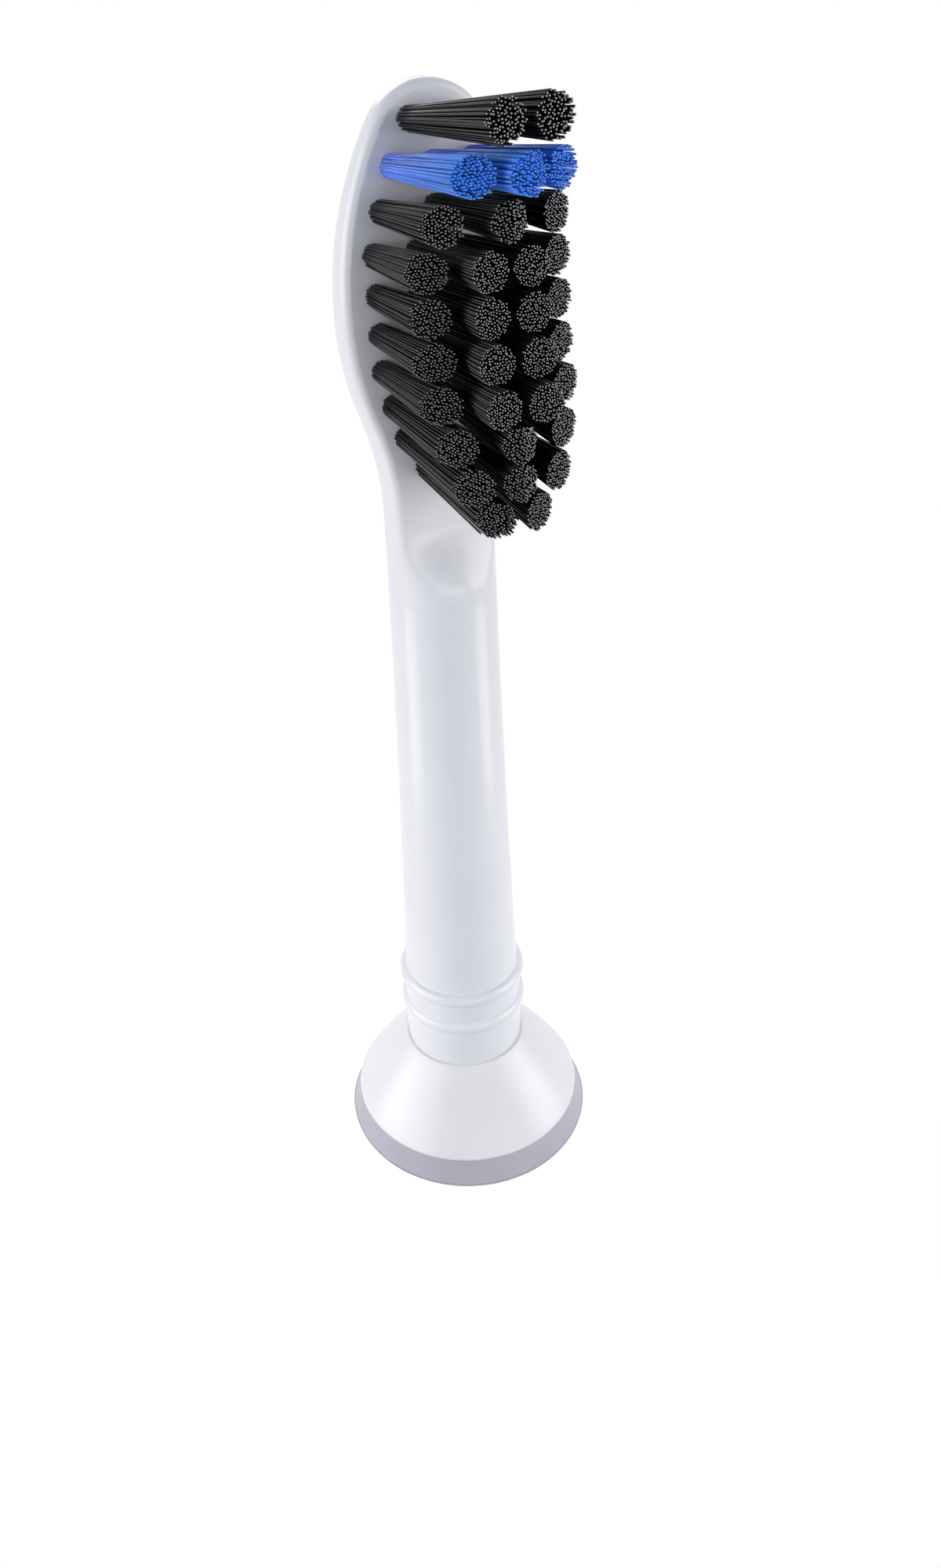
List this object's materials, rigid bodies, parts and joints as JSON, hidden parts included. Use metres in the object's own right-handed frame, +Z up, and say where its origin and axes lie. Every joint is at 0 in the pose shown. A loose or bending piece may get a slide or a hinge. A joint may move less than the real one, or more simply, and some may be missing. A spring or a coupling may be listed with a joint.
{
  "type": "electric toothbrush head",
  "caption": "Push-on sonic toothbrush head: round neck on a flared base, flat oval platen with trimmed bristle tufts, keyed shaft socket below.",
  "frame": {"origin": "centre of the shaft socket's mouth, in the plane of the base rim", "axes": "+Z up along the neck to the platen, -Y the way the bristles point, +X across the platen"},
  "size_m": [0.0204, 0.0249, 0.0846],
  "materials": {
    "white_plastic": "polished moulded white",
    "satin_white_plastic": "satin pearl white",
    "grey_plastic": "satin cool grey",
    "socket_plastic": "moulded natural",
    "spring_steel": "rolled strip",
    "anchor_metal": "cut flat wire",
    "black_filament": "black nylon filament",
    "blue_filament": "translucent blue nylon filament"
  },
  "bodies": {
    "root": {"brush_body": "white_plastic", "base_skirt": "satin_white_plastic", "base_ring": "grey_plastic", "drive_socket": "socket_plastic", "retaining_spring": "spring_steel", "tuft_anchors": "anchor_metal", "tuft_a1": "black_filament", "tuft_a2": "black_filament", "tuft_b1": "blue_filament", "tuft_b2": "blue_filament", "tuft_b3": "blue_filament", "tuft_c1": "black_filament", "tuft_c2": "black_filament", "tuft_c3": "black_filament", "tuft_d1": "black_filament", "tuft_d2": "black_filament", "tuft_d3": "black_filament", "tuft_d4": "black_filament", "tuft_e1": "black_filament", "tuft_e2": "black_filament", "tuft_e3": "black_filament", "tuft_e4": "black_filament", "tuft_f1": "black_filament", "tuft_f2": "black_filament", "tuft_f3": "black_filament", "tuft_f4": "black_filament", "tuft_g1": "black_filament", "tuft_g2": "black_filament", "tuft_g3": "black_filament", "tuft_g4": "black_filament", "tuft_h1": "black_filament", "tuft_h2": "black_filament", "tuft_h3": "black_filament", "tuft_i1": "black_filament", "tuft_i2": "black_filament", "tuft_i3": "black_filament", "tuft_j1": "black_filament", "tuft_j2": "black_filament"}
  },
  "joints": []
}
